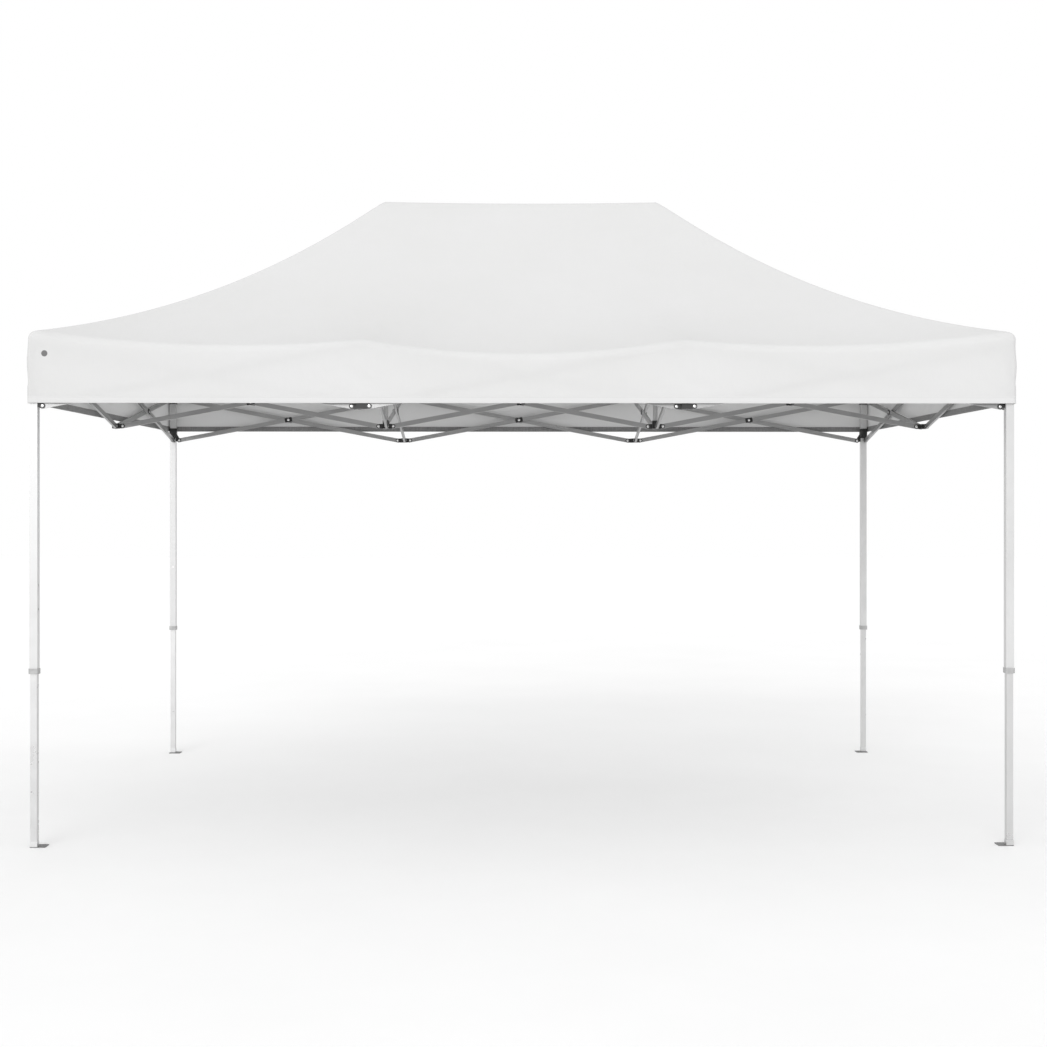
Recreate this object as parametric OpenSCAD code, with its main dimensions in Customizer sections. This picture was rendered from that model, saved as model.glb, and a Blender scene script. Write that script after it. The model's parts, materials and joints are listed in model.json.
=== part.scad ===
// Pop-up gazebo: a scissor truss on four telescopic legs, with two centre posts under a hipped canopy.
// The origin is the middle of the footprint on the ground. +X runs along the long side to the right,
// +Y from the front to the back, and +Z up. The gazebo is drawn open, with its legs at full length.

/* [Truss] */
// Distance between neighbouring frame joints, along X and Y alike
pitch = 1466; // [1200:1:1600]
// Height of the upper pivots above the ground
upper_pivot_z = 2245; // [2150:1:2260]
// Height from the lower pivots to the upper pivots
truss_depth = 260; // [200:1:320]
// Distance from the middle of a bracket to each of its pivots
pivot_offset = 40; // [39:1:50]

/* [Bars] */
// Height of a truss bar's section
bar_h = 25; // [20:1:26]
// Thickness of a truss bar's section
bar_t = 12; // [10:0.5:12]
// Wall of a truss bar's tube
bar_wall = 1.2; // [0.8:0.1:2]
// Length of a bar past its end pivots
bar_end = 9; // [7:0.5:9]
// Gap between the two bars of a crossing
bar_gap = 2; // [1.5:0.1:3]
// Length of the moulded pad on each outer face of a crossing
pad_l = 46; // [30:1:60]
// Height of a crossing's pad
pad_h = 29; // [25:1:32]
// Thickness of a crossing's pad
pad_t = 3; // [2:0.5:3]

/* [Pins] */
// Radius of every pivot pin
pin_r = 4; // [3:0.1:4.5]
// Radius of a pin's head
pin_head_r = 7.5; // [6:0.1:9]
// Thickness of a pin's head
pin_head_t = 2.4; // [1.5:0.1:3]
// Radius of the washer between two crossing bars
washer_r = 10; // [8:0.5:12]

/* [Brackets] */
// Width of a bracket's middle block
block_w = 33; // [33:1:34]
// Height of a bracket's middle block
block_h = 26; // [24:1:40]
// Thickness of a bracket's ears
ear_t = 3; // [2:0.5:3]
// Radius of the round end of an ear
ear_r = 12; // [9:0.5:12.5]
// Width over a sleeve that goes round a leg
sleeve_w = 44; // [42:0.5:44]
// Corner radius of a sleeve
sleeve_corner_r = 7; // [5:0.5:9]
// Height of the bracket sleeve at the top of a leg
leg_top_sleeve_h = 60; // [50:1:60]
// Height of a slider's sleeve
slider_h = 60; // [50:1:60]
// Height of the lower end of a slider's sleeve over its pivots
slider_above = 15; // [14:1:20]
// Height over the pivots to which a slider's hanging ears run up its sleeve
slider_web_top = 45; // [35:1:55]
// Depth of the inner edge of a slider's hanging ears under the pivots
slider_web_low = 6; // [4:1:12]

/* [Legs] */
// Width of the square outer leg tube
outer_leg_w = 36; // [34:1:36]
// Width of the square inner leg tube
inner_leg_w = 30; // [26:1:30]
// Wall of both leg tubes
leg_wall = 1.5; // [1:0.1:2]
// Height of the lower end of the outer leg tube
outer_leg_bottom_z = 780; // [700:5:800]
// Height of the upper end of the inner leg tube
inner_leg_top_z = 1250; // [1240:10:1280]
// Heights of the two button holes in an outer leg
button_hole_z = [1070, 1180];
// Radius of a button hole
button_hole_r = 5; // [4:0.5:7]
// Height of the end collar on an outer leg
leg_collar_h = 24; // [15:1:25]

/* [Feet] */
// Width of a square foot plate
foot_w = 70; // [60:1:80]
// Thickness of a foot plate
foot_t = 3; // [2:0.5:5]
// Corner radius of a foot plate
foot_corner_r = 6; // [3:0.5:10]
// Distance that a foot plate reaches outside the middle of its leg
foot_outside = 18; // [16:0.5:22]
// Radius of the peg hole in a foot plate
peg_hole_r = 5; // [4:0.5:7]
// Distance from the middle of the leg to its peg hole, along X and Y alike
peg_hole_offset = 38; // [36:1:42]
// Height of the socket that joins a leg to its foot plate
foot_socket_h = 24; // [15:1:30]

/* [Posts] */
// Radius of a centre post
post_r = 12.5; // [10:0.5:12.5]
// Wall of a centre post
post_wall = 1.5; // [1:0.1:2]
// Height of the lower hub that carries a post
post_hub_h = 44; // [30:1:50]
// Height of the top of a post's cap
post_top_z = 3198; // [3190:1:3200]
// Height of the domed plug that closes the top of a post
post_plug_h = 12; // [6:1:16]
// Length of the plug inside the tube
post_plug_inside = 24; // [15:1:40]

/* [Canopy] */
// Height of the canopy's two peaks
peak_z = 3205; // [3203:1:3400]
// Distance from the leg centres out to the valance
valance_outside = 29; // [28:1:32]
// Height of the valance's lower edge
hem_z = 1997; // [1980:1:2050]
// Height of the roof's edge at the corners, before it rolls over
eave_corner_z = 2318; // [2310:1:2330]
// Height of the roof's edge over the frame joints, before it rolls over
eave_joint_z = 2282; // [2280:1:2310]
// Sag of the roof's edge between the two joints of the middle bay
middle_bay_sag = 67; // [20:1:70]
// Sag of the roof's edge between a joint and a corner
end_bay_sag = 45; // [20:1:50]
// Sag of the ridge between the peaks
ridge_sag = 8; // [0:1:20]
// Depth of the roof's hollow, as a share of its height
roof_hollow = 0.588; // [0:0.01:0.7]
// How fast the edge's sag fades up the roof
sag_fade = 3; // [1:0.5:4]
// Radius of the roll from the roof down to the valance
roll_r = 45; // [30:1:50]
// Corner radius of the valance, seen from above
valance_corner_r = 22; // [10:1:24]
// Thickness of the canopy
canopy_t = 1; // [0.8:0.1:1.5]

/* [Hidden] */
fit = 0.03;              // gap round a piece that is fixed in its bracket
running_fit = 0.05;      // radial clearance of a pin in a bar
side_gap = 0.5;          // gap between a bar and each ear
body_gap = 0.3;          // smallest gap between pieces that move apart
slide_gap = 0.5;         // gap between a sleeve or hub and what slides in it
ear_leg_gap = 1;         // gap between a leg and the roots of the ears beside it
round_fn = 48;

bay = pitch - 2 * pivot_offset;
bar_l = sqrt(pow(bay, 2) + pow(truss_depth, 2));
bar_slope = atan(truss_depth / bay);
bar_centre = (bar_gap + bar_t) / 2;
bar_face = bar_gap / 2 + bar_t;
pad_face = bar_face + fit + pad_t;
lower_pivot_z = upper_pivot_z - truss_depth;
ear_outer = bar_face + side_gap;
ear_inner = bar_gap / 2 - side_gap;

col_x = [-1.5 * pitch, -0.5 * pitch, 0.5 * pitch, 1.5 * pitch];
row_y = [-pitch, 0, pitch];
peak_x = pitch / 2;
canopy_y = pitch + valance_outside;
canopy_x = peak_x + canopy_y;
long_edge_x = canopy_x - valance_corner_r;

// Left and right are seen from the front. A falling bar is high at its left or front end.
row_name = ["front", "middle", "back"];
bay_name = ["left", "centre", "right"];
col_name = ["left_side", "left_post", "right_post", "right_side"];
half_name = ["front", "back"];
side_name = ["left", "left", "right", "right"];

// The bars of the middle row's two outer bays are left out, to keep the number of pieces in bounds.
X_UNITS = [for (r = [0:2]) for (c = [0:2]) if (r != 1 || c == 1) [c, r]];
Y_UNITS = [for (c = [0:3]) for (r = [0:1]) [c, r]];
KINDS = ["falling", "rising"];

function x_bar_name(u, kind) = str("bar_", row_name[u[1]], "_", bay_name[u[0]], "_", kind);
function y_bar_name(u, kind) = str("bar_", col_name[u[0]], "_", half_name[u[1]], "_", kind);
function at_end(c) = c == 0 || c == 3;
function joint_name(c, r, corner, bracket, hub) =
    at_end(c) && r != 1 ? str(corner, "_", row_name[r], "_", side_name[c]) :
    at_end(c) ? str(bracket, "_", col_name[c]) :
    r != 1 ? str(bracket, "_", row_name[r], "_", side_name[c]) :
    str(hub, "_", side_name[c]);
function upper_name(c, r) = joint_name(c, r, "leg", "upper_bracket", "upper_hub");
function lower_name(c, r) = joint_name(c, r, "slider", "lower_bracket", "post");
function lower_leg_name(c, r) = str("lower_leg_", row_name[r], "_", side_name[c]);

JOINTS = [for (c = [0:3]) for (r = [0:2]) [c, r]];
CORNERS = [for (j = JOINTS) if (at_end(j[0]) && j[1] != 1) j];

// Turns a shape that points along +X into one that points along the given axis and way.
module point_along(axis, way) {
    mirror([axis == "y" ? 1 : 0, axis == "y" ? -1 : 0, 0])
        mirror([way < 0 ? 1 : 0, 0, 0])
            children();
}

// A flat piece drawn in X and Z, between two values of Y.
module slab(y0, y1) {
    translate([0, y1, 0])
        rotate([90, 0, 0])
            linear_extrude(y1 - y0)
                children();
}

module pin_hole(r, y0, y1) {
    translate([0, y1 + 1, 0])
        rotate([90, 0, 0])
            cylinder(r = r, h = y1 - y0 + 2, $fn = round_fn);
}

// A pin along Y whose heads stand outside y0 and y1.
module pin(y0, y1) {
    translate([0, y1, 0])
        rotate([90, 0, 0])
            cylinder(r = pin_r, h = y1 - y0, $fn = round_fn);
    translate([0, y1, 0])
        rotate([-90, 0, 0])
            cylinder(r1 = pin_head_r, r2 = pin_r, h = pin_head_t, $fn = round_fn);
    translate([0, y0, 0])
        rotate([90, 0, 0])
            cylinder(r1 = pin_head_r, r2 = pin_r, h = pin_head_t, $fn = round_fn);
}

module ear_outline(root_x, root_low, root_high) {
    polygon([
        [root_x, root_low],
        [pivot_offset, -ear_r],
        [pivot_offset, ear_r],
        [root_x, root_high]
    ]);
    translate([pivot_offset, 0])
        circle(r = ear_r, $fn = round_fn);
}

// The two ears that hold one bar's end, on the side of the truss plane that the bar lies on.
module ears(root_x, side, root_low, root_high) {
    mirror([0, side < 0 ? 1 : 0, 0])
        difference() {
            union() {
                slab(ear_outer, ear_outer + ear_t)
                    ear_outline(root_x, root_low, root_high);
                slab(ear_inner - ear_t, ear_inner)
                    ear_outline(root_x, root_low, root_high);
            }
            translate([pivot_offset, 0, 0])
                pin_hole(pin_r + fit, ear_inner - ear_t, ear_outer + ear_t);
        }
}

module ear_pin(side) {
    mirror([0, side < 0 ? 1 : 0, 0])
        translate([pivot_offset, 0, 0])
            pin(ear_inner - ear_t - fit, ear_outer + ear_t + fit);
}

// The directions in which a joint has bars: an axis and a way.
function arms(c, r) = [
    if (c < 3) ["x", 1],
    if (c > 0) ["x", -1],
    if (r < 2) ["y", 1],
    if (r > 0) ["y", -1]
];

// An upper joint holds a falling bar on its + side, and a lower joint holds a rising one there.
function bar_side(arm, upper) = upper ? arm[1] : -arm[1];

module all_ears(c, r, upper, root_x, root_low = -block_h / 2, root_high = block_h / 2) {
    for (arm = arms(c, r))
        point_along(arm[0], arm[1])
            ears(root_x, bar_side(arm, upper), root_low, root_high);
}

// An upper joint's bars lie on the side that they point to, so mirroring turns every side to +.
module all_ear_pins(c, r, upper) {
    for (arm = arms(c, r))
        point_along(arm[0], arm[1])
            ear_pin(bar_side(arm, upper));
}

module rounded_square(w, corner_r) {
    square([w, w - 2 * corner_r], center = true);
    square([w - 2 * corner_r, w], center = true);
    for (x = [-1, 1])
        for (y = [-1, 1])
            translate([x, y] * (w / 2 - corner_r))
                circle(r = corner_r, $fn = round_fn);
}

module square_tube(w, wall, z0, z1) {
    translate([-w / 2, -w / 2, z0])
        difference() {
            cube([w, w, z1 - z0]);
            translate([wall, wall, -1])
                cube([w - 2 * wall, w - 2 * wall, z1 - z0 + 2]);
        }
}

module sleeve(hole_w, z0, z1) {
    translate([0, 0, z0])
        linear_extrude(z1 - z0)
            difference() {
                rounded_square(sleeve_w, sleeve_corner_r);
                square(hole_w, center = true);
            }
}

module place(c, r, z = 0) {
    translate([col_x[c], row_y[r], z])
        children();
}

// The way from a leg to the middle of the gazebo, along X and Y.
function inward(c, r) = [c == 0 ? 1 : -1, r == 0 ? 1 : -1];

// Each leg's button faces a quarter turn on from the one before it.
function button_turn(c, r) = r == 0 ? (c == 0 ? 0 : 90) : (c == 0 ? -90 : 180);

module outer_leg(c, r) {
    top_z = upper_pivot_z + leg_top_sleeve_h / 2;
    place(c, r) {
        color("whitesmoke")
            difference() {
                square_tube(outer_leg_w, leg_wall, outer_leg_bottom_z, top_z - ear_t - fit);
                for (z = button_hole_z)
                    translate([0, 0, z])
                        rotate([0, 90, button_turn(c, r)])
                            cylinder(r = button_hole_r, h = outer_leg_w, $fn = round_fn);
            }
        color("dimgray")
            sleeve(outer_leg_w + 2 * fit, outer_leg_bottom_z, outer_leg_bottom_z + leg_collar_h);
        color([0.12, 0.12, 0.12]) {
            sleeve(outer_leg_w + 2 * fit, top_z - leg_top_sleeve_h, top_z - ear_t);
            translate([0, 0, top_z - ear_t])
                linear_extrude(ear_t)
                    rounded_square(sleeve_w, sleeve_corner_r);
            translate([0, 0, upper_pivot_z])
                all_ears(c, r, true, outer_leg_w / 2 + ear_leg_gap);
        }
        color("silver")
            translate([0, 0, upper_pivot_z])
                all_ear_pins(c, r, true);
    }
}

module lower_leg(c, r) {
    in = inward(c, r);
    plate_centre = in * (foot_w / 2 - foot_outside);
    button_top = outer_leg_w / 2 - leg_wall - body_gap;
    button_root = inner_leg_w / 2 - leg_wall;
    place(c, r) {
        color("gainsboro")
            difference() {
                square_tube(inner_leg_w, leg_wall, foot_t + fit, inner_leg_top_z);
                translate([0, 0, button_hole_z[1]])
                    rotate([0, 90, button_turn(c, r)])
                        cylinder(r = button_hole_r, h = inner_leg_w, $fn = round_fn);
            }
        color("silver")
            translate([0, 0, button_hole_z[1]])
                rotate([0, 90, button_turn(c, r)])
                    translate([0, 0, button_root])
                        cylinder(
                            r = button_hole_r - body_gap,
                            h = button_top - button_root,
                            $fn = round_fn
                        );
        color("dimgray")
            difference() {
                translate([plate_centre[0], plate_centre[1], 0])
                    linear_extrude(foot_t)
                        rounded_square(foot_w, foot_corner_r);
                translate([in[0] * peg_hole_offset, in[1] * peg_hole_offset, -1])
                    cylinder(r = peg_hole_r, h = foot_t + 2, $fn = round_fn);
            }
        color("silver")
            square_tube(
                inner_leg_w + 2 * leg_wall + 2 * fit,
                leg_wall,
                foot_t + fit,
                foot_t + foot_socket_h
            );
    }
}

module slider(c, r) {
    place(c, r, lower_pivot_z) {
        color([0.12, 0.12, 0.12]) {
            sleeve(outer_leg_w + 2 * slide_gap, slider_above, slider_above + slider_h);
            all_ears(c, r, false, outer_leg_w / 2 + ear_leg_gap, -slider_web_low, slider_web_top);
        }
        color("silver")
            all_ear_pins(c, r, false);
    }
}

module bracket(c, r, upper) {
    place(c, r, upper ? upper_pivot_z : lower_pivot_z) {
        color([0.12, 0.12, 0.12]) {
            translate([0, 0, -block_h / 2])
                linear_extrude(block_h)
                    square(block_w, center = true);
            all_ears(c, r, upper, block_w / 2 - ear_t);
        }
        color("silver")
            all_ear_pins(c, r, upper);
    }
}

module upper_hub(c) {
    place(c, 1, upper_pivot_z) {
        color([0.12, 0.12, 0.12])
            difference() {
                union() {
                    translate([0, 0, -block_h / 2])
                        linear_extrude(block_h)
                            square(block_w, center = true);
                    all_ears(c, 1, true, block_w / 2 - ear_t);
                }
                translate([0, 0, -block_h])
                    cylinder(r = post_r + slide_gap, h = 2 * block_h, $fn = round_fn);
            }
        color("silver")
            all_ear_pins(c, 1, true);
    }
}

module post(c) {
    hub_bottom = -block_h / 2;
    tube_bottom = hub_bottom + ear_t + fit;
    tube_top = post_top_z - lower_pivot_z - post_plug_h;
    place(c, 1, lower_pivot_z) {
        color([0.12, 0.12, 0.12])
            difference() {
                union() {
                    translate([0, 0, hub_bottom])
                        linear_extrude(post_hub_h)
                            square(block_w, center = true);
                    all_ears(c, 1, false, block_w / 2 - ear_t);
                }
                translate([0, 0, hub_bottom + ear_t])
                    cylinder(r = post_r + fit, h = post_hub_h, $fn = round_fn);
            }
        color("silver")
            all_ear_pins(c, 1, false);
        color("lightgray")
            translate([0, 0, tube_bottom])
                difference() {
                    cylinder(r = post_r, h = tube_top - tube_bottom, $fn = round_fn);
                    translate([0, 0, -1])
                        cylinder(r = post_r - post_wall, h = tube_top - tube_bottom + 2, $fn = round_fn);
                }
        color([0.12, 0.12, 0.12])
            translate([0, 0, tube_top + fit])
                rotate_extrude($fn = round_fn)
                    post_plug_outline();
    }
}

// Half of a post plug's section: a dome as wide as the tube, over a spigot inside it.
module post_plug_outline() {
    translate([0, -post_plug_inside])
        square([post_r - post_wall - fit, post_plug_inside + 1]);
    intersection() {
        square([post_r, post_plug_h - fit]);
        scale([1, (post_plug_h - fit) / post_r])
            circle(r = post_r, $fn = round_fn);
    }
}

// A bar from its upper pivot at the origin along +X, down to its lower pivot.
module bar_tube() {
    slope_frame()
        difference() {
            translate([-bar_end, -bar_t / 2, -bar_h / 2])
                cube([bar_l + 2 * bar_end, bar_t, bar_h]);
            translate([-bar_end - 1, -bar_t / 2 + bar_wall, -bar_h / 2 + bar_wall])
                cube([bar_l + 2 * bar_end + 2, bar_t - 2 * bar_wall, bar_h - 2 * bar_wall]);
            for (x = [0, bar_l / 2, bar_l])
                translate([x, 0, 0])
                    pin_hole(pin_r + running_fit, -bar_t / 2, bar_t / 2);
        }
}

module slope_frame() {
    rotate([0, bar_slope, 0])
        children();
}

// The pin and washer at the middle of a crossing. The falling bar carries them.
module crossing_pin() {
    washer_t = bar_gap - 2 * body_gap;
    slope_frame()
        translate([bar_l / 2, -bar_centre, 0]) {
            pin(-pad_face - body_gap, pad_face + fit);
            translate([0, washer_t / 2, 0])
                rotate([90, 0, 0])
                    difference() {
                        cylinder(r = washer_r, h = washer_t, $fn = round_fn);
                        translate([0, 0, -1])
                            cylinder(r = pin_r + fit, h = washer_t + 2, $fn = round_fn);
                    }
        }
}

// The pad on the +Y face of a bar, round the crossing's pin.
module crossing_pad(hole_r) {
    y0 = bar_t / 2 + fit;
    corner_r = pad_h / 6;
    slope_frame()
        translate([bar_l / 2, 0, 0])
            difference() {
                slab(y0, y0 + pad_t)
                    hull()
                        for (x = [-1, 1])
                            for (z = [-1, 1])
                                translate([x * (pad_l / 2 - corner_r), z * (pad_h / 2 - corner_r)])
                                    circle(r = corner_r, $fn = round_fn);
                pin_hole(hole_r, y0, y0 + pad_t);
            }
}

module falling_bar() {
    translate([pivot_offset, bar_centre, upper_pivot_z]) {
        color("silver")
            bar_tube();
        color("gray")
            crossing_pin();
        color([0.12, 0.12, 0.12])
            crossing_pad(pin_r + fit);
    }
}

module rising_bar() {
    translate([pitch - pivot_offset, -bar_centre, upper_pivot_z])
        rotate([0, 0, 180]) {
            color("silver")
                bar_tube();
            color([0.12, 0.12, 0.12])
                crossing_pad(pin_r + running_fit);
        }
}

module bar(u, axis, kind) {
    place(u[0], u[1])
        point_along(axis, 1)
            if (kind == "falling")
                falling_bar();
            else
                rising_bar();
}

// The canopy is a thin shell made of rings round the ridge. Each ring is a rounded rectangle, and a
// station is a place on it: how far along X and Y, from -1 to 1, and which way the edge faces.
long_steps = 12;
short_steps = 8;
corner_steps = 4;
roof_steps = 9;
roll_steps = 3;
first_ring_w = 8;
peak_round = 20;

function corner_stations(x, y, from) =
    [for (k = [1:corner_steps - 1]) let (a = from + 90 * k / corner_steps) [x, y, cos(a), sin(a)]];
STATIONS = concat(
    [for (k = [0:short_steps]) [1, 2 * k / short_steps - 1, 1, 0]],
    corner_stations(1, 1, 0),
    [for (k = [0:long_steps]) [1 - 2 * k / long_steps, 1, 0, 1]],
    corner_stations(-1, 1, 90),
    [for (k = [0:short_steps]) [-1, 1 - 2 * k / short_steps, -1, 0]],
    corner_stations(-1, -1, 180),
    [for (k = [0:long_steps]) [2 * k / long_steps - 1, -1, 0, -1]],
    corner_stations(1, -1, 270)
);
station_n = len(STATIONS);

// Height of the taut roof edge at a station, before it rolls over, and how far the edge sags there.
// u runs from 0 at a frame joint to 1 at the corner, and is below 0 in the middle bay.
function bay_place(s) =
    abs(s[3]) == 1 ? (abs(s[0]) * long_edge_x - peak_x) / (long_edge_x - peak_x) :
    abs(s[2]) == 1 ? abs(s[1]) :
    1;
function eave_z(s) = eave_joint_z + (eave_corner_z - eave_joint_z) * max(0, bay_place(s));
function eave_sag(s) =
    let (u = bay_place(s))
    u < 0 ? middle_bay_sag * (1 - pow(s[0] * long_edge_x / peak_x, 2)) :
    end_bay_sag * 4 * u * (1 - u);
function ridge_z(s) = peak_z - ridge_sag * (1 - pow(s[0], 2));

// How far down the roof a ring lies, from 0 at the ridge to 1 at the edge.
function rounded_w(w) = sqrt(pow(w, 2) + pow(peak_round, 2)) - peak_round;
function roof_share(w) = rounded_w(w) / rounded_w(canopy_y);
function roof_z(s, w) =
    let (t = roof_share(w), share = (1 - t) * (1 - roof_hollow * t))
    eave_z(s) + (ridge_z(s) - eave_z(s)) * share - eave_sag(s) * pow(t, sag_fade);

// The point of a station on the ring that is w away from the ridge.
function ring_corner_r(w) = min(0.8 * w, valance_corner_r);
function ring_point(s, w, z) =
    let (r = ring_corner_r(w))
    [s[0] * (peak_x + w - r) + s[2] * r, s[1] * (w - r) + s[3] * r, z];

roof_slope = atan((1 - roof_hollow) * (peak_z - eave_joint_z) / canopy_y);
roll_start_w = canopy_y - roll_r + roll_r * sin(roof_slope);
function ring_w(k) = first_ring_w + (roll_start_w - first_ring_w) * pow(k / roof_steps, 1.4);
function roll_point(s, inset, a) =
    ring_point(
        s,
        canopy_y - roll_r + (roll_r - inset) * sin(a),
        roof_z(s, roll_start_w) - roll_r * cos(roof_slope) + (roll_r - inset) * cos(a)
    );
function roll_angle(k) = roof_slope + (90 - roof_slope) * k / roll_steps;
function skin(inset) = concat(
    [for (k = [0:roof_steps - 1])
        [for (s = STATIONS) ring_point(s, ring_w(k), roof_z(s, ring_w(k)) - inset)]],
    [for (k = [0:roll_steps]) [for (s = STATIONS) roll_point(s, inset, roll_angle(k))]],
    [[for (s = STATIONS) ring_point(s, canopy_y - inset, hem_z)]]
);
ring_n = roof_steps + roll_steps + 2;

function flat(rows) = [for (row = rows) for (p = row) p];
function flip(faces) = [for (f = faces) [f[0], f[2], f[1]]];
function shift(faces, by) = [for (f = faces) [for (i = f) i + by]];
function ring_index(k, i) = k * station_n + i % station_n;
SIDE_FACES = [
    for (k = [0:ring_n - 2])
        for (i = [0:station_n - 1])
            for (f = [
                [ring_index(k, i), ring_index(k, i + 1), ring_index(k + 1, i + 1)],
                [ring_index(k, i), ring_index(k + 1, i + 1), ring_index(k + 1, i)]
            ])
                f
];
top_first = short_steps + corner_steps;
left_first = top_first + long_steps + corner_steps;
bottom_first = left_first + short_steps + corner_steps;
bottom_last = bottom_first + long_steps;
RIDGE_FACES = concat(
    [for (k = [0:long_steps - 1]) for (f = [
        [top_first + k, bottom_last - k, bottom_last - k - 1],
        [top_first + k, bottom_last - k - 1, top_first + k + 1]
    ]) f],
    [for (i = [bottom_last + 1:station_n + top_first - 1])
        [bottom_last, (i + 1) % station_n, i % station_n]],
    [for (i = [top_first + long_steps + 1:bottom_first - 1]) [top_first + long_steps, i + 1, i]]
);
HEM_FACES = [
    for (i = [0:station_n - 1])
        let (o = ring_n * station_n, a = ring_index(ring_n - 1, i), b = ring_index(ring_n - 1, i + 1))
            for (f = [[a, b, b + o], [a, b + o, a + o]])
                f
];

module canopy() {
    outer_faces = concat(SIDE_FACES, RIDGE_FACES);
    color("white")
        polyhedron(
            points = concat(flat(skin(0)), flat(skin(canopy_t))),
            faces = concat(outer_faces, shift(flip(outer_faces), ring_n * station_n), HEM_FACES)
        );
}

module upper_joint(c, r) {
    if (at_end(c) && r != 1)
        outer_leg(c, r);
    else if (r == 1 && !at_end(c))
        upper_hub(c);
    else
        bracket(c, r, true);
}

module lower_joint(c, r) {
    if (at_end(c) && r != 1)
        slider(c, r);
    else if (r == 1 && !at_end(c))
        post(c);
    else
        bracket(c, r, false);
}

canopy();
for (j = JOINTS) upper_joint(j[0], j[1]);
for (j = JOINTS) lower_joint(j[0], j[1]);
for (j = CORNERS) lower_leg(j[0], j[1]);
for (u = X_UNITS) for (k = KINDS) bar(u, "x", k);
for (u = Y_UNITS) for (k = KINDS) bar(u, "y", k);
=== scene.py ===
import json
import math
import bmesh
import bpy
import numpy as np
from mathutils import Matrix, Vector, noise

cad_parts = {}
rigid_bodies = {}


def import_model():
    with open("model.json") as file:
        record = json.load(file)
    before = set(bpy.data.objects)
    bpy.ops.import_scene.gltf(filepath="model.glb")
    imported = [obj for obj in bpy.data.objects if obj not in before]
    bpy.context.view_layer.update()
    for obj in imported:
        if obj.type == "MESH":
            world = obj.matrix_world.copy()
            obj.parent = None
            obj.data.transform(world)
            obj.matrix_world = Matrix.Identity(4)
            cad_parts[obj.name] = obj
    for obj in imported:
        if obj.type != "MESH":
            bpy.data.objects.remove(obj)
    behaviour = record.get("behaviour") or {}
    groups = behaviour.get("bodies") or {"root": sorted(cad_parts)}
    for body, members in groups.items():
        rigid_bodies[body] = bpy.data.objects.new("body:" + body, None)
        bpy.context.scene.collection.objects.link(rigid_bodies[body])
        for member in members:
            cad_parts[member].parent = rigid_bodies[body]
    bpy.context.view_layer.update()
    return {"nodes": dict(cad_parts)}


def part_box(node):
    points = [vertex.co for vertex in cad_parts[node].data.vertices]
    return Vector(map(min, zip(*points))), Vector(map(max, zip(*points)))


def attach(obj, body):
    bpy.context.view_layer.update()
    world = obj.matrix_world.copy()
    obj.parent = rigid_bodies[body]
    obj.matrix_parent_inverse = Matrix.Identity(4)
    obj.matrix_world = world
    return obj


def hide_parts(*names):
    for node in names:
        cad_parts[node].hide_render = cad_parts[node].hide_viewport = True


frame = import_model()
scene = bpy.context.scene

# ---------------------------------------------------------------- places, from the CAD frame
def middle(node):
    lo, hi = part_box(node)
    return (lo + hi) / 2

HUB_L, HUB_R = middle("upper_hub_left"), middle("upper_hub_right")
PITCH = HUB_R.x - HUB_L.x
PEAK_X = PITCH / 2
COLS = [HUB_L.x - PITCH, HUB_L.x, HUB_R.x, HUB_R.x + PITCH]
ROWS = [-PITCH, 0.0, PITCH]
SKIN_LO, SKIN_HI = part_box("canopy")
HALF_Y = SKIN_HI.y
HEM_Z = SKIN_LO.z


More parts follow.
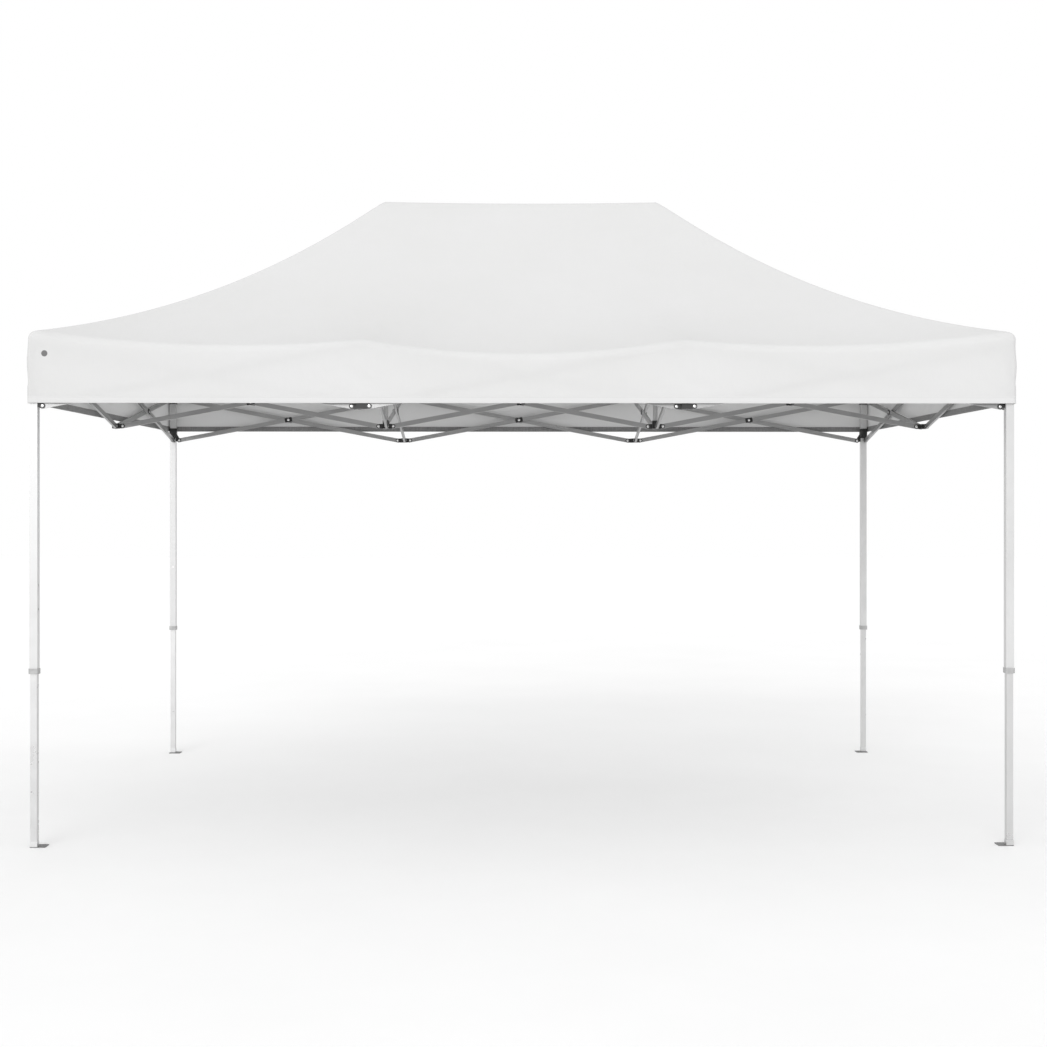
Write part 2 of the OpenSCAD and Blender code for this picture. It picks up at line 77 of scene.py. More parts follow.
# ---------------------------------------------------------------- shader helpers
class Nodes:
    """A small builder for node materials."""

    def __init__(self, name):
        self.mat = bpy.data.materials.new(name)
        self.mat.use_nodes = True
        self.nt = self.mat.node_tree
        self.nt.nodes.clear()
        self.out = self.nt.nodes.new("ShaderNodeOutputMaterial")

    def add(self, kind, **props):
        n = self.nt.nodes.new(kind)
        for k, v in props.items():
            setattr(n, k, v)
        return n

    def link(self, a, b):
        self.nt.links.new(a, b)

    def set(self, socket, value):
        if isinstance(value, bpy.types.NodeSocket):
            self.link(value, socket)
        else:
            socket.default_value = value

    def principled(self, **inputs):
        n = self.add("ShaderNodeBsdfPrincipled")
        for k, v in inputs.items():
            self.set(n.inputs[k.replace("_", " ")], v)
        return n

    def coords(self):
        return self.add("ShaderNodeTexCoord").outputs["Object"]

    def attribute(self, name):
        return self.add("ShaderNodeAttribute", attribute_name=name).outputs["Vector"]

    def noise(self, vector, scale, detail=4.0, rough=0.55, stretch=None):
        if stretch is not None:
            m = self.add("ShaderNodeMapping")
            m.inputs["Scale"].default_value = stretch
            self.link(vector, m.inputs["Vector"])
            vector = m.outputs["Vector"]
        n = self.add("ShaderNodeTexNoise")
        n.inputs["Scale"].default_value = scale
        n.inputs["Detail"].default_value = detail
        n.inputs["Roughness"].default_value = rough
        self.link(vector, n.inputs["Vector"])
        return n.outputs["Fac"]

    def math(self, op, a, b=0.0, clamp=False):
        n = self.add("ShaderNodeMath", operation=op, use_clamp=clamp)
        self.set(n.inputs[0], a)
        self.set(n.inputs[1], b)
        return n.outputs[0]

    def range(self, value, lo, hi, to_lo, to_hi):
        n = self.add("ShaderNodeMapRange")
        for i, v in enumerate((value, lo, hi, to_lo, to_hi)):
            self.set(n.inputs[i], v)
        return n.outputs[0]

    def mix(self, fac, a, b):
        n = self.add("ShaderNodeMix", data_type="RGBA")
        self.set(n.inputs[0], fac)
        self.set(n.inputs[6], a)
        self.set(n.inputs[7], b)
        return n.outputs[2]

    def bump(self, height, strength, distance, normal=None):
        n = self.add("ShaderNodeBump")
        n.inputs["Strength"].default_value = strength
        n.inputs["Distance"].default_value = distance
        self.link(height, n.inputs["Height"])
        if normal is not None:
            self.link(normal, n.inputs["Normal"])
        return n.outputs["Normal"]

    def edge(self, width):
        """1 on a convex edge and 0 on a flat face."""
        b = self.add("ShaderNodeBevel", samples=4)
        b.inputs["Radius"].default_value = width
        g = self.add("ShaderNodeNewGeometry")
        d = self.add("ShaderNodeVectorMath", operation="DOT_PRODUCT")
        self.link(b.outputs[0], d.inputs[0])
        self.link(g.outputs["Normal"], d.inputs[1])
        return self.range(d.outputs["Value"], 0.995, 0.9, 0.0, 1.0)

    def done(self, shader):
        self.link(shader, self.out.inputs["Surface"])
        return self.mat


def rgb(v, tint=(1, 1, 1)):
    return (v * tint[0], v * tint[1], v * tint[2], 1.0)


def metal(name, base, worn, rough, upright, metallic=1.0, streak=0.25):
    """Drawn tube: fine streaks along it, soft smudges and paler worn edges."""
    n = Nodes(name)
    p = n.coords()
    squeeze = (1, 1, 0.02) if upright else (1, 1, 1)
    fine = n.noise(p, 900.0, 3.0, 0.6, squeeze)
    smudge = n.noise(p, 7.0, 5.0, 0.6)
    colour = n.mix(n.range(smudge, 0.3, 0.7, 0.0, 1.0), rgb(base * 0.93), rgb(base))
    colour = n.mix(n.math("MULTIPLY", n.range(fine, 0.35, 0.75, 0.0, 1.0), streak), colour, rgb(base * 0.8))
    colour = n.mix(n.math("MULTIPLY", n.edge(0.0012), 0.6), colour, rgb(worn))
    shader = n.principled(
        Base_Color=colour,
        Roughness=n.range(smudge, 0.3, 0.7, rough * 0.85, rough * 1.2),
        Metallic=metallic,
        Normal=n.bump(fine, 0.12, 0.0002),
    )
    return n.done(shader.outputs[0])


def plastic(name, base, rough):
    """Moulded plastic with a fine grain, faint flow marks and scuffed edges."""
    n = Nodes(name)
    p = n.coords()
    fine = n.noise(p, 1400.0, 2.0, 0.5)
    broad = n.noise(p, 30.0, 4.0, 0.6)
    colour = n.mix(n.range(broad, 0.3, 0.7, 0.0, 1.0), rgb(base * 0.8), rgb(base * 1.15))
    colour = n.mix(n.math("MULTIPLY", n.edge(0.0015), 0.5), colour, rgb(base + 0.09))
    shader = n.principled(
        Base_Color=colour,
        Roughness=n.range(broad, 0.3, 0.7, rough * 0.85, rough * 1.15),
        Normal=n.bump(fine, 0.35, 0.0002),
    )
    shader.inputs["Specular IOR Level"].default_value = 0.4
    return n.done(shader.outputs[0])


def steel(name, base=0.75, rough=0.16):
    n = Nodes(name)
    p = n.coords()
    smudge = n.noise(p, 120.0, 4.0, 0.6)
    shader = n.principled(
        Base_Color=n.mix(n.range(smudge, 0.3, 0.7, 0.0, 1.0), rgb(base * 0.85), rgb(base)),
        Roughness=n.range(smudge, 0.3, 0.7, rough, rough * 1.8),
        Metallic=1.0,
        Normal=n.bump(smudge, 0.05, 0.0003),
    )
    return n.done(shader.outputs[0])


# stitches to the metre, and the share of each one that is thread
STITCHES, THREAD_SHARE = 220.0, 0.65
HEM_FOLD, HEM_STITCH = 0.030, 0.026
SEAM_HALF, SEAM_STITCH = 0.009, (0.003, 0.007)
PATCH_R = 0.014
PATCH_IN, PATCH_UP = 0.081, 0.222


def fabric(name, base, through, weave_pitch=0.0016):
    """Coated woven polyester: a plain weave, faint blotches and creases, and some light coming through."""
    n = Nodes(name)
    uv = n.attribute("cloth")
    split = n.add("ShaderNodeSeparateXYZ")
    n.link(uv, split.inputs[0])
    per_metre = 2 * math.pi / weave_pitch
    warp = n.math("SINE", n.math("MULTIPLY", split.outputs[0], per_metre))
    weft = n.math("SINE", n.math("MULTIPLY", split.outputs[1], per_metre))
    weave = n.math("MULTIPLY", warp, weft)
    p = n.coords()
    slub = n.noise(uv, 160.0, 3.0, 0.6, (1, 0.15, 1))
    blotch = n.noise(p, 1.3, 5.0, 0.6)
    crease = n.noise(p, 5.0, 3.0, 0.5, (0.6, 0.6, 1.6))
    colour = n.mix(n.range(blotch, 0.35, 0.65, 0.0, 1.0), rgb(base * 0.975, (1, 1, 0.995)), rgb(base))
    colour = n.mix(n.math("MULTIPLY", n.range(slub, 0.4, 0.8, 0.0, 1.0), 0.25), colour, rgb(base * 0.94))
    colour = n.mix(n.range(weave, -1.0, 1.0, 0.0, 0.12), colour, rgb(base * 0.86))
    trim = n.add("ShaderNodeSeparateXYZ")
    n.link(n.attribute("trim"), trim.inputs[0])
    hem, hip, inner_fold_painted_shade = trim.outputs
    on_hem = n.range(n.math("ABSOLUTE", n.math("SUBTRACT", hem, HEM_STITCH)), 0.0006, 0.0014, 1.0, 0.0)
    across, down = [
        n.math("LESS_THAN", n.math("FRACT", n.math("MULTIPLY", along, STITCHES)), THREAD_SHARE)
        for along in split.outputs[:2]
    ]
    stitch = n.math("MULTIPLY", across, on_hem)
    for line in SEAM_STITCH:
        near_line = n.range(n.math("ABSOLUTE", n.math("SUBTRACT", hip, line)), 0.0006, 0.0016, 1.0, 0.0)
        stitch = n.math("ADD", stitch, n.math("MULTIPLY", down, near_line), clamp=True)
    double = n.range(hem, HEM_FOLD - 0.001, HEM_FOLD + 0.001, 1.0, 0.0)
    seam = n.range(hip, SEAM_HALF - 0.0015, SEAM_HALF + 0.0015, 1.0, 0.0)
    layers = n.math("MAXIMUM", double, seam)
    colour = n.mix(n.math("MULTIPLY", layers, 0.35), colour, rgb(base * 0.97))
    colour = n.mix(n.math("MULTIPLY", stitch, 0.35), colour, rgb(base * 0.75))
    from_patch = n.add("ShaderNodeVectorMath", operation="LENGTH")
    n.link(n.attribute("patch"), from_patch.inputs[0])
    patch = n.range(from_patch.outputs["Value"], PATCH_R - 0.001, PATCH_R + 0.001, 1.0, 0.0)
    colour = n.mix(patch, colour, rgb(0.15))
    # painted shade: the hem's fold inside the valance is drawn dark grey, standing in for the shade inside
    # the valance
    colour = n.mix(inner_fold_painted_shade, colour, n.mix(n.range(slub, 0.3, 0.7, 0.0, 1.0), rgb(0.17), rgb(0.24)))
    normal = n.bump(crease, 0.10, 0.02)
    normal = n.bump(layers, 0.3, 0.0006, normal)
    normal = n.bump(stitch, 0.6, 0.0005, normal)
    normal = n.bump(weave, 0.35, 0.00025, normal)
    front = n.principled(Base_Color=colour, Roughness=n.range(slub, 0.3, 0.7, 0.68, 0.82), Normal=normal)
    front.inputs["Sheen Weight"].default_value = 0.12
    front.inputs["Sheen Roughness"].default_value = 0.4
    front.inputs["Specular IOR Level"].default_value = 0.3
    back = n.add("ShaderNodeBsdfTranslucent")
    n.link(colour, back.inputs["Color"])
    n.link(normal, back.inputs["Normal"])
    both = n.add("ShaderNodeMixShader")
    solid = n.math("MAXIMUM", n.math("MAXIMUM", inner_fold_painted_shade, patch), n.math("MULTIPLY", layers, 0.5))
    n.link(n.range(solid, 0.0, 1.0, through, 0.0), both.inputs[0])
    n.link(front.outputs[0], both.inputs[1])
    n.link(back.outputs[0], both.inputs[2])
    return n.done(both.outputs[0])


MATS = {
    "outer_tube": metal("outer_leg_coat", 0.58, 0.68, 0.34, True, metallic=0.25, streak=0.12),
    "inner_tube": metal("inner_leg_metal", 0.58, 0.70, 0.30, True, metallic=0.6, streak=0.2),
    "post_tube": metal("post_metal", 0.45, 0.7, 0.35, True),
    "bar_tube": metal("bar_metal", 0.34, 0.6, 0.36, False, metallic=0.85),
    "moulding": plastic("bracket_moulding", 0.022, 0.42),
    "pad": plastic("crossing_pad", 0.012, 0.48),
    "plug": plastic("post_plug", 0.03, 0.5),
    "collar": plastic("leg_collar", 0.38, 0.45),
    "plate": metal("foot_plate", 0.16, 0.35, 0.5, False, metallic=0.5),
    "socket": metal("foot_socket", 0.62, 0.8, 0.35, False, metallic=0.8),
    "steel": steel("pin_steel"),
}


# ---------------------------------------------------------------- hard pieces, from the CAD solids
def near(value, target, slack=0.0006):
    return abs(value - target) < slack


def kind_of(node, dims):
    """What a solid is, from its box."""
    a, b, c = sorted(dims)
    if c > 1.0:
        return ("outer_tube" if node.startswith("leg_") else "inner_tube" if node.startswith("lower_leg") else
                "post_tube" if node.startswith("post_") else "bar_tube")
    if near(a, 0.015) and near(b, 0.015):
        return "pin"
    if a < 0.002 or (a < 0.003 and c < 0.012):
        return "steel"
    if node.startswith("bar_"):
        return "pad"
    if near(a, 0.003) and c > 0.06:
        return "plate"
    if near(a, 0.024):
        return "socket" if node.startswith("lower_leg") else "collar"
    if node.startswith("post_") and c < 0.05:
        return "plug"
    return "moulding"


def islands(bm):
    """The separate solids of a mesh, in the order of their vertices."""
    left = set(bm.verts)
    for start in list(bm.verts):
        if start not in left:
            continue
        left.remove(start)
        part, queue = [start], [start]
        while queue:
            for e in queue.pop().link_edges:
                for v in e.verts:
                    if v in left:
                        left.remove(v)
                        part.append(v)
                        queue.append(v)
        yield part


def make_object(name, verts, faces, mat, body=None):
    me = bpy.data.meshes.new(name)
    me.from_pydata([tuple(v) for v in verts], [], faces)
    me.materials.append(mat)
    me.polygons.foreach_set("use_smooth", [True] * len(me.polygons))
    me.update()
    o = bpy.data.objects.new(name, me)
    scene.collection.objects.link(o)
    if body:
        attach(o, body)
    return o


# a pin's head and its dome, as shares of the head's radius or thickness
PIN_SHAFT, PIN_HEAD, PIN_TURNS, DOME_STEPS = 4 / 7.5, 0.0024, 28, 6
DOME_R, DOME_DEEP, RIM_R, RIM_DEEP, WALL_DEEP = 0.9, 0.62, 0.96, 0.85, 0.68


def rivet(lo, hi):
    """A shouldered pin with a domed head at each end, as wide and long as the CAD pin in that box."""
    size = hi - lo
    axis = max(range(3), key=lambda i: size[i])
    length, r = size[axis], max(size[(axis + 1) % 3], size[(axis + 2) % 3]) / 2
    shaft, head, half, turns = r * PIN_SHAFT, PIN_HEAD, length / 2, PIN_TURNS
    dome_top = head * DOME_DEEP
    dome = [(r * DOME_R * math.cos(t), half - dome_top + dome_top * math.sin(t))
            for t in [i * math.pi / 2 / DOME_STEPS for i in range(DOME_STEPS)]]
    profile = [
        (shaft, 0.0),
        (shaft, half - head),
        (r * RIM_R, half - head),
        (r, half - head * RIM_DEEP),
        (r, half - head * WALL_DEEP),
        *dome,
        (0.0, half),
    ]
    full = [(a, -b) for a, b in reversed(profile)] + profile[1:]
    verts, faces = [], []
    for a, b in full[1:-1]:
        for k in range(turns):
            t = 2 * math.pi * k / turns
            verts.append((a * math.cos(t), a * math.sin(t), b))
    rows = len(full) - 2
    for i in range(rows - 1):
        for k in range(turns):
            here, after = i * turns, (i + 1) * turns
            nxt = (k + 1) % turns
            faces.append((here + k, here + nxt, after + nxt, after + k))
    verts += [(0, 0, full[0][1]), (0, 0, full[-1][1])]
    for k in range(turns):
        faces.append((rows * turns, (k + 1) % turns, k))
        faces.append((rows * turns + 1, (rows - 1) * turns + k, (rows - 1) * turns + (k + 1) % turns))
    turn = (
        Matrix.Rotation(math.pi / 2, 4, "Y"),
        Matrix.Rotation(-math.pi / 2, 4, "X"),
        Matrix.Identity(4),
    )[axis]
    place = Matrix.Translation((lo + hi) / 2) @ turn
    return [place @ Vector(v) for v in verts], faces


def bevelled(o, width, angle):
    m = o.modifiers.new("edges", "BEVEL")
    m.width = width
    m.segments = 2
    m.limit_method = "ANGLE"
    m.angle_limit = math.radians(angle)
    m.harden_normals = True
    m.use_clamp_overlap = True
    return o


BEVEL = {
    "moulding": 0.0009, "outer_tube": 0.0022, "inner_tube": 0.0018, "bar_tube": 0.0012, "post_tube": 0.0004,
    "pad": 0.0008, "plug": 0.0004, "collar": 0.001, "plate": 0.0007, "socket": 0.0005, "steel": 0.0002,
}
EDGE_ANGLE, SMALL_EDGE_ANGLE = 35, 50
RING_SIDES = 60


def solids(node):
    """The solids of a CAD node by kind, as one list of vertices and one of faces for each kind."""
    bm = bmesh.new()
    bm.from_mesh(frame["nodes"][node].data)
    bmesh.ops.remove_doubles(bm, verts=bm.verts, dist=2e-6)
    bmesh.ops.dissolve_limit(bm, angle_limit=math.radians(0.5), verts=bm.verts, edges=bm.edges)
    # a level face round a leg or post is drawn right only as triangles
    level_rings = [f for f in bm.faces if len(f.verts) > RING_SIDES and abs(f.normal.z) > 0.99]
    bmesh.ops.triangulate(bm, faces=level_rings)
    made = {}
    for part in islands(bm):
        lo = Vector([min(v.co[i] for v in part) for i in range(3)])
        hi = Vector([max(v.co[i] for v in part) for i in range(3)])
        kind = kind_of(node, hi - lo)
        verts, faces = made.setdefault("steel" if kind == "pin" else kind, ([], []))
        first = len(verts)
        if kind == "pin":
            v, f = rivet(lo, hi)
            verts += v
            faces += [tuple(i + first for i in face) for face in f]
            continue
        index = {v: i + first for i, v in enumerate(part)}
        verts += [v.co.copy() for v in part]
        own_faces = dict.fromkeys(f for v in part for f in v.link_faces)
        faces += [tuple(index[v] for v in f.verts) for f in own_faces]
    bm.free()
    return made


def dress(node, body, shift=Vector(), name=None):
    """Draws a CAD node's solids, riding on body. A name makes it a copy that stands for no node."""
    out = []
    for kind, (verts, faces) in sorted(solids(node).items()):
        o = make_object(f"{name or node}.{kind}", [v + shift for v in verts], faces, MATS[kind], body)
        bevelled(o, BEVEL[kind], SMALL_EDGE_ANGLE if kind == "steel" else EDGE_ANGLE)
        if name is None:
            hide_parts(node)
        out.append(o)
    return out


for hard in sorted(frame["nodes"]):
    if hard != "canopy":
        dress(hard, hard)

# ---------------------------------------------------------------- the middle row's two outer bays
# Each bar is a copy of the middle bay's. It hangs from its own upper joint and turns with its twin in front.
PIVOT_IN = 0.040

for side, way, kind, carrier in (
    ("left", -1, "falling", "upper_bracket_left_side"),
    ("left", -1, "rising", "upper_hub_left"),
    ("right", 1, "falling", "upper_hub_right"),
    ("right", 1, "rising", "upper_bracket_right_side"),
):
    # a falling bar's upper end is its left one, and a rising bar's is its right one
    hub = HUB_L if kind == "falling" else HUB_R
    inward = PIVOT_IN if kind == "falling" else -PIVOT_IN
    pivot = Vector((hub.x + inward, 0.0, HUB_L.z))
    for o in dress(f"bar_middle_centre_{kind}", None, -pivot, f"bar_middle_{side}_{kind}"):
        o.location = pivot + Vector((way * PITCH, 0.0, 0.0))
        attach(o, carrier)
        turn = o.constraints.new("COPY_ROTATION")
        turn.target = bpy.data.objects[f"body:bar_front_{side}_{kind}"]

# ---------------------------------------------------------------- canopy
# points along a long side, a short side and a corner, then rings on the roof, the eave and the valance
LONG, SHORT, CORNER, ROOF, ROLL, DROP = 150, 100, 10, 44, 8, 16
HEM_TURN, INNER_FOLD_RINGS, HEM_THICK, INNER_FOLD_WIDE = 4, 3, 0.0012, 0.03
ROLL_R, CORNER_R = 0.045, 0.022
EAVE_JOINT, EAVE_CORNER = 2.282, 2.318
MIDDLE_SAG, END_SAG, RIDGE_SAG, HOLLOW, FADE = 0.067, 0.045, 0.008, 0.588, 3.0
ROUND_W = 0.020
TOP_W, RING_SPREAD = 0.004, 1.25
HEM_RISE = 0.045
SLACK, SLACK_LEAD, LEG_CLEAR = 0.004, 4, 0.03
PUCKER, PUCKER_SPREAD, PUCKER_RINGS, PUCKER_WAVES = 0.003, 0.012, 12, 34
RIDGE_Z = 3.205
EDGE_X = PEAK_X + HALF_Y - CORNER_R


def stations():
    """Points round the canopy: where each lies on its side, from -1 to 1, and which way is out."""
    out = []
    for sx, sy, n, a0 in ((1, 0, SHORT, 0), (0, 1, LONG, 90), (-1, 0, SHORT, 180), (0, -1, LONG, 270)):
        for k in range(n + 1):
            u = 2 * k / n - 1
            out.append((sx or -u * sy, sy or u * sx, sx, sy))
        for k in range(1, CORNER):
            t = math.radians(a0 + 90 * k / CORNER)
            ex, ey = out[-k][0], out[-k][1]
            out.append((ex, ey, math.cos(t), math.sin(t)))
    return out


STATIONS = stations()


def bay_place(s):
    """0 at the frame joint nearest the corner and 1 at the corner; below 0 in a long side's middle bay."""
    if abs(s[3]) == 1:
        return (abs(s[0]) * EDGE_X - PEAK_X) / (EDGE_X - PEAK_X)
    return abs(s[1]) if abs(s[2]) == 1 else 1.0


def eave_z(s):
    return EAVE_JOINT + (EAVE_CORNER - EAVE_JOINT) * max(0.0, bay_place(s))


def eave_sag(s):
    u = bay_place(s)
    if u < 0:
        return MIDDLE_SAG * (1 - (s[0] * EDGE_X / PEAK_X) ** 2)
    return END_SAG * 4 * u * (1 - u)


def rounded(w):
    """w with its start eased, which rounds the ridge."""
    return math.sqrt(w * w + ROUND_W ** 2) - ROUND_W


def roof_z(s, w):
    t = rounded(w) / rounded(HALF_Y)
    share = (1 - t) * (1 - HOLLOW * t)
    ridge = RIDGE_Z - RIDGE_SAG * (1 - s[0] ** 2)
    return eave_z(s) + (ridge - eave_z(s)) * share - eave_sag(s) * t ** FADE


def ring_point(s, w, z):
    r = min(0.8 * w, CORNER_R)
    return Vector((s[0] * (PEAK_X + w - r) + s[2] * r, s[1] * (w - r) + s[3] * r, z))


def hem_z(y):
    """The hem runs up a little from the front to the back."""
    return HEM_Z + HEM_RISE * min(1.0, max(0.0, (y + HALF_Y) / (2 * HALF_Y)))


SLOPE = math.atan((1 - HOLLOW) * (RIDGE_Z - EAVE_JOINT) / HALF_Y)
ROLL_W = HALF_Y - ROLL_R + ROLL_R * math.sin(SLOPE)


def canopy_rings():
    rings = []
    for k in range(ROOF):
        w = TOP_W + (ROLL_W - TOP_W) * (k / ROOF) ** RING_SPREAD
        rings.append([ring_point(s, w, roof_z(s, w)) for s in STATIONS])
    for k in range(ROLL + 1):
        a = SLOPE + (math.pi / 2 - SLOPE) * k / ROLL
        w = HALF_Y - ROLL_R + ROLL_R * math.sin(a)
        rings.append([
            ring_point(s, w, roof_z(s, ROLL_W) - ROLL_R * math.cos(SLOPE) + ROLL_R * math.cos(a))
            for s in STATIONS
        ])
    last = rings[-1]
    fold = HEM_THICK
    for k in range(1, DROP + 1):
        rings.append([Vector((p.x, p.y, p.z + (hem_z(p.y) + fold - p.z) * k / DROP)) for p in last])
    outward = [Vector((s[2], s[3], 0)) for s in STATIONS]
    for k in range(1, HEM_TURN + 1):
        a = math.pi * k / HEM_TURN
        under = Vector((0, 0, fold * math.sin(a)))
        rings.append([
            Vector((p.x, p.y, hem_z(p.y) + fold)) - o * fold * (1 - math.cos(a)) - under
            for p, o in zip(last, outward)
        ])
    # the hem's fold running up inside the valance; the fabric draws it dark grey as painted shade
    for k in range(1, INNER_FOLD_RINGS + 1):
        rings.append([Vector((p.x, p.y, p.z + INNER_FOLD_WIDE * k / INNER_FOLD_RINGS)) for p in rings[-k]])
    return rings, outward


def nearness(p, places, spread):
    """1 over the nearest of some places and falling off round it."""
    return max(math.exp(-((p.x - j.x) ** 2 + (p.y - j.y) ** 2) / spread) for j in places)


def soften(rings, outward):
    """Slack in the valance, none at the legs, and puckers where the fabric passes over a frame joint."""
    first = ROOF + ROLL
    joints = [Vector((x, y, 0)) for x in COLS for y in ROWS if abs(x) > 2 or abs(y) > 1]
    legs = [j for j in joints if abs(j.x) > 2 and abs(j.y) > 1]
    for k, ring in enumerate(rings):
        for i, (p, o) in enumerate(zip(ring, outward)):
            down = min(1.0, max(0.0, (k - first + SLACK_LEAD) / (DROP + SLACK_LEAD)))
            broad = noise.noise(Vector((p.x * 1.7, p.y * 1.7, 3.1)))
            fine = noise.noise(Vector((p.x * 5, p.y * 5, p.z * 3)))
            away = 1.0 - nearness(p, legs, LEG_CLEAR)
            ring[i] = p - o * (SLACK * down * (0.6 + broad + 0.4 * fine) * away)
            if abs(k - first) < PUCKER_RINGS:
                pucker = nearness(p, joints, PUCKER_SPREAD) * math.sin(PUCKER_WAVES * (p.x + p.y + p.z))
                ring[i] = ring[i] - o * PUCKER * pucker
    return rings


def canopy_mesh():
    rings, outward = canopy_rings()
    rings = soften(rings, outward)
    n = len(STATIONS)
    verts = [p for ring in rings for p in ring]
    faces = []
    for k in range(len(rings) - 1):
        for i in range(n):
            j = (i + 1) % n
            faces.append((k * n + i, (k + 1) * n + i, (k + 1) * n + j, k * n + j))
    # across the ridge: long side to long side, then a fan at each peak
    top, bottom = SHORT + CORNER, SHORT + CORNER + LONG + CORNER + SHORT + CORNER
    for k in range(LONG):
        faces.append((top + k, top + k + 1, bottom + LONG - k - 1, bottom + LONG - k))
    faces.append(tuple(i % n for i in range(bottom + LONG, n + top + 1)))
    faces.append(tuple(range(top + LONG, bottom + 1)))
    return verts, faces, rings


c_verts, c_faces, c_rings = canopy_mesh()
MATS["fabric"] = fabric("canopy_fabric", 0.65, 0.13)
canopy = make_object("canopy.sheet", c_verts, c_faces, MATS["fabric"])


def store(o, name, rows):
    a = o.data.attributes.new(name, "FLOAT_VECTOR", "POINT")
    a.data.foreach_set("vector", np.array(rows, np.float32).ravel())


def cloth_coords(o, rings):
    """Stores how far each point lies along the cloth and down it, in metres, for the weave."""
    n = len(rings[0])
    data = []
    down = [0.0] * n
    for k, ring in enumerate(rings):
        along = 0.0
        for i in range(n):
            if k:
                down[i] += (ring[i] - rings[k - 1][i]).length
            if i:
                along += (ring[i] - ring[i - 1]).length
            data.append((along, down[i], 0.0))
    store(o, "cloth", data)


cloth_coords(canopy, c_rings)


def trim_coords(o, rings):
    """Height over the hem, distance from the nearest hip seam, share of the hem's inner fold drawn dark as
    painted shade, and place of the patch.
    """
    trim, patch = [], []
    for k, ring in enumerate(rings):
        roof = k < ROOF + ROLL
        # painted shade: marks the hem's inner fold, which the fabric draws dark grey for the shade inside the
        # valance
        inner_fold_painted_shade = 1.0 if k > ROOF + ROLL + DROP + HEM_TURN - 1 else 0.0
        for p, s in zip(ring, STATIONS):
            out_x, out_y = abs(p.x) - PEAK_X, abs(p.y)
            hip = abs(out_x - out_y) / math.sqrt(2) if roof and out_x > 0 else 1.0
            trim.append((1.0 if roof else p.z - hem_z(p.y), hip, inner_fold_painted_shade))
            on_front = s[3] < -0.99 and not roof
            patch.append((p.x - SKIN_LO.x - PATCH_IN if on_front else 1.0, p.z - HEM_Z - PATCH_UP, 0.0))
    store(o, "trim", trim)
    store(o, "patch", patch)


trim_coords(canopy, c_rings)

# ---------------------------------------------------------------- the canopy's fold
REST_EDGE_X, REST_EDGE_Y = COLS[3], ROWS[2]
BASE_Z = EAVE_JOINT
# the roof's height share left at full fold, and how much a bay has shrunk by then
FLAT_SHARE, FULL_SHRINK = 0.02, 0.88
HANG, HANG_POWER, PLEAT, PLEATS_PER_BAY, EDGE_EASE = 0.30, 4, 0.055, 4, 0.02


def between(value, lo, hi):
    return min(hi, max(lo, value))


def pleat(u, bays):
    """How far out a pleat stands, u bays along a side."""
    return PLEAT * (0.5 - 0.5 * math.cos(2 * math.pi * PLEATS_PER_BAY * u)) if 0 < u < bays else 0.0


def fold_shift(p):
    """How far a point of the cloth moves at full fold, on top of the frame's own shrinking.

    The roof hangs into each bay, the valance gathers outward in pleats, and the eave's sag is drawn up.
    """
    ux = (p.x - COLS[0]) / PITCH
    uy = (p.y - ROWS[0]) / PITCH
    inside = 0 < ux < 3 and 0 < uy < 2
    hang = HANG * (math.sin(math.pi * ux) * math.sin(math.pi * uy)) ** HANG_POWER if inside else 0.0
    out_x = pleat(uy, 2) * between((abs(p.x) - REST_EDGE_X) / EDGE_EASE, 0.0, 1.0)
    out_y = pleat(ux, 3) * between((abs(p.y) - REST_EDGE_Y) / EDGE_EASE, 0.0, 1.0)
    w = between(max(abs(p.y), abs(p.x) - PEAK_X), 0.001, HALF_Y)
    if abs(p.y) >= abs(p.x) - PEAK_X:
        side = (between(p.x / (PEAK_X + w), -1.0, 1.0), 1, 0, 1)
    else:
        side = (1, between(p.y / w, -1.0, 1.0), 1, 0)
    top_z = BASE_Z - MIDDLE_SAG - ROLL_R
    column = between((p.z - HEM_Z) / (top_z - HEM_Z), 0.0, 1.0)
    lift = eave_sag(side) * (rounded(w) / rounded(HALF_Y)) ** FADE * column
    return Vector((math.copysign(out_x, p.x), math.copysign(out_y, p.y), lift - hang))


class Folding(Nodes):
    """The same builder for a geometry modifier, which gathers the cloth by where two frame bodies stand."""

    def __init__(self, name):
        self.nt = bpy.data.node_groups.new(name, "GeometryNodeTree")
        self.nt.interface.new_socket("Geometry", in_out="INPUT", socket_type="NodeSocketGeometry")
        self.nt.interface.new_socket("Geometry", in_out="OUTPUT", socket_type="NodeSocketGeometry")
        self.geometry = self.add("NodeGroupInput").outputs[0]
        self.out = self.add("NodeGroupOutput")

    def place(self, body):
        o = self.add("GeometryNodeObjectInfo", transform_space="ORIGINAL")
        o.inputs["Object"].default_value = bpy.data.objects["body:" + body]
        return self.split(o.outputs["Location"])

    def split(self, vector):
        n = self.add("ShaderNodeSeparateXYZ")
        self.link(vector, n.inputs[0])
        return list(n.outputs)

    def join(self, x, y, z):
        n = self.add("ShaderNodeCombineXYZ")
        for socket, value in zip(n.inputs, (x, y, z)):
            self.set(socket, value)
        return n.outputs[0]

    def clamp(self, value, lo, hi):
        return self.math("MINIMUM", self.math("MAXIMUM", value, lo), hi)

    def shrink(self, value, edge, fixed, share):
        """value drawn in towards fixed by share; what lies beyond the edge keeps its distance from it."""
        held = self.clamp(value, -edge, edge)
        drawn = self.math("MULTIPLY", self.math("SUBTRACT", held, fixed), share)
        return self.math("ADD", self.math("ADD", drawn, fixed), self.math("SUBTRACT", value, held))


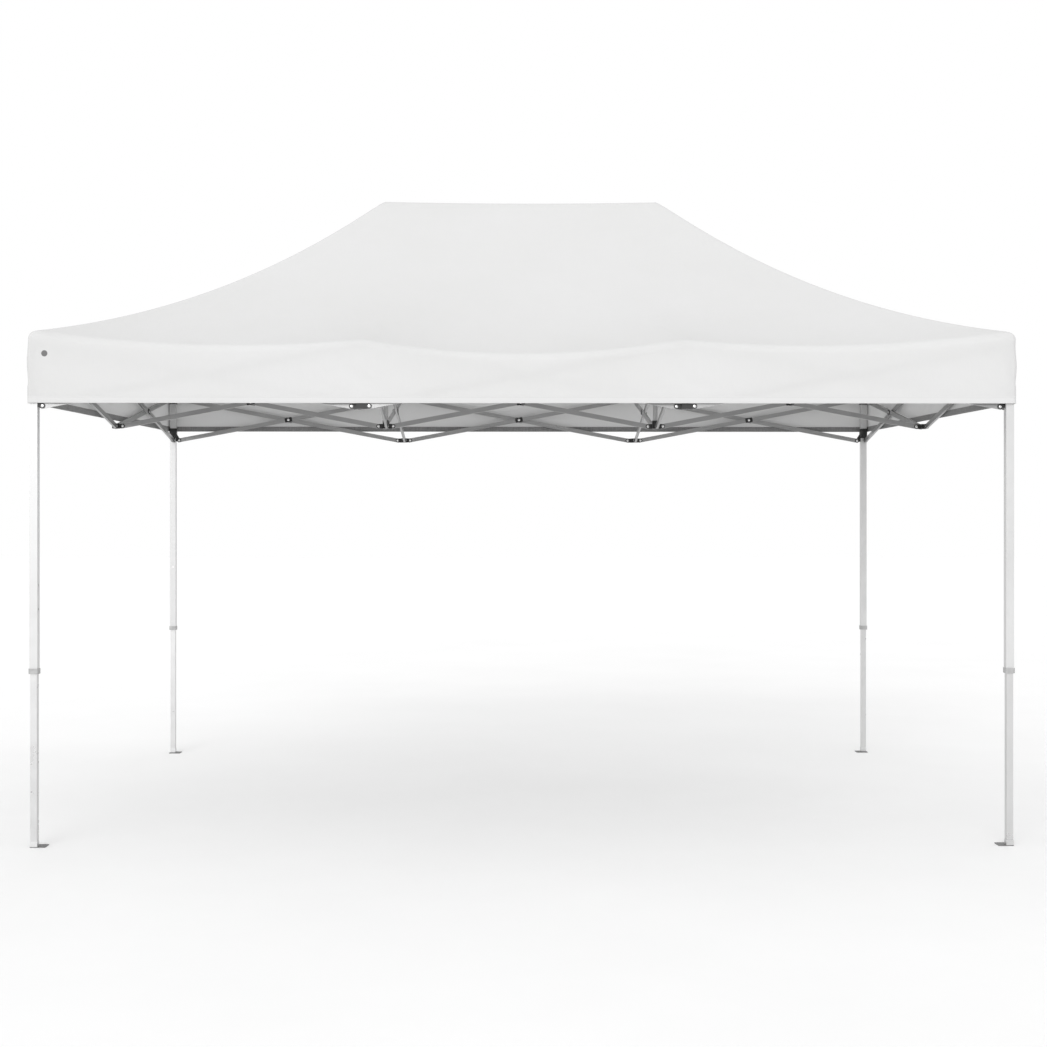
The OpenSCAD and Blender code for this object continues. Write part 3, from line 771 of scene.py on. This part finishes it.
def folding_group():
    n = Folding("canopy_fold")
    slide = n.place("upper_hub_right")[0]
    drop = n.place("post_left")[2]
    share = n.math("ADD", n.math("DIVIDE", slide, PITCH), 1.0)
    folded = n.math("DIVIDE", n.math("SUBTRACT", 1.0, share), FULL_SHRINK)
    rise = n.clamp(n.math("ADD", n.math("DIVIDE", drop, RIDGE_Z - BASE_Z), 1.0), FLAT_SHARE, 1.0)
    x, y, z = n.split(n.add("GeometryNodeInputPosition").outputs[0])
    above = n.math("MAXIMUM", n.math("SUBTRACT", z, BASE_Z), 0.0)
    lower = n.math("MULTIPLY", above, n.math("SUBTRACT", 1.0, rise))
    where = n.join(
        n.shrink(x, REST_EDGE_X, HUB_L.x, share),
        n.shrink(y, REST_EDGE_Y, 0.0, share),
        n.math("SUBTRACT", z, lower),
    )
    extra = n.add("GeometryNodeInputNamedAttribute", data_type="FLOAT_VECTOR")
    extra.inputs["Name"].default_value = "fold_shift"
    scaled = n.add("ShaderNodeVectorMath", operation="SCALE")
    n.link(extra.outputs["Attribute"], scaled.inputs[0])
    n.link(folded, scaled.inputs["Scale"])
    total = n.add("ShaderNodeVectorMath", operation="ADD")
    n.link(where, total.inputs[0])
    n.link(scaled.outputs[0], total.inputs[1])
    move = n.add("GeometryNodeSetPosition")
    n.link(n.geometry, move.inputs["Geometry"])
    n.link(total.outputs[0], move.inputs["Position"])
    n.link(move.outputs[0], n.out.inputs[0])
    return n.nt


FOLD_GROUP = folding_group()
store(canopy, "fold_shift", [fold_shift(v.co) for v in canopy.data.vertices])
canopy.modifiers.new("fold", "NODES").node_group = FOLD_GROUP
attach(canopy, "upper_hub_left")
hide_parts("canopy")

# ---------------------------------------------------------------- floor, light and camera
FLOOR_HALF = 60.0
LIGHT_WAY, LIGHT_STRENGTH, LIGHT_SPREAD = (0.25, 1.0, -0.40), 1.5, 40


def stage_floor():
    n = Nodes("floor_paper")
    p = n.coords()
    tone = n.noise(p, 0.8, 4.0, 0.6)
    shader = n.principled(
        Base_Color=n.mix(n.range(tone, 0.3, 0.7, 0.0, 1.0), rgb(0.85), rgb(0.87)),
        Roughness=0.9,
    )
    mat = n.done(shader.outputs[0])
    corners = [(x * FLOOR_HALF, y * FLOOR_HALF, 0) for x, y in ((-1, -1), (1, -1), (1, 1), (-1, 1))]
    floor = make_object("floor", corners, [(0, 1, 2, 3)], mat)


def soft_sun(towards, strength, spread):
    data = bpy.data.lights.new("key", "SUN")
    data.energy = strength
    data.angle = math.radians(spread)
    o = bpy.data.objects.new("key", data)
    o.rotation_euler = Vector(towards).to_track_quat("-Z", "Y").to_euler()
    scene.collection.objects.link(o)


stage_floor()
world = bpy.data.worlds.new("studio")
world.use_nodes = True
background = world.node_tree.nodes["Background"]
background.inputs["Color"].default_value = (1, 1, 1, 1)
background.inputs["Strength"].default_value = 1.0
scene.world = world
soft_sun(LIGHT_WAY, LIGHT_STRENGTH, LIGHT_SPREAD)
scene.view_settings.view_transform = "Standard"

cam_data = bpy.data.cameras.new("camera")
cam_data.sensor_width = 36.0
cam_data.lens = 54.14
cam_data.clip_end = 200.0
camera = bpy.data.objects.new("camera", cam_data)
camera.location = (-0.064, -8.572, 1.456)
camera.rotation_euler = (math.pi / 2, 0, math.radians(-0.53))
scene.collection.objects.link(camera)
scene.camera = camera

# ---------------------------------------------------------------- what carries the sheet
CARRIERS = [f"leg_{row}_{side}.moulding" for row in ("front", "back") for side in ("left", "right")]
CARRIERS += ["post_left.plug", "post_right.plug"]
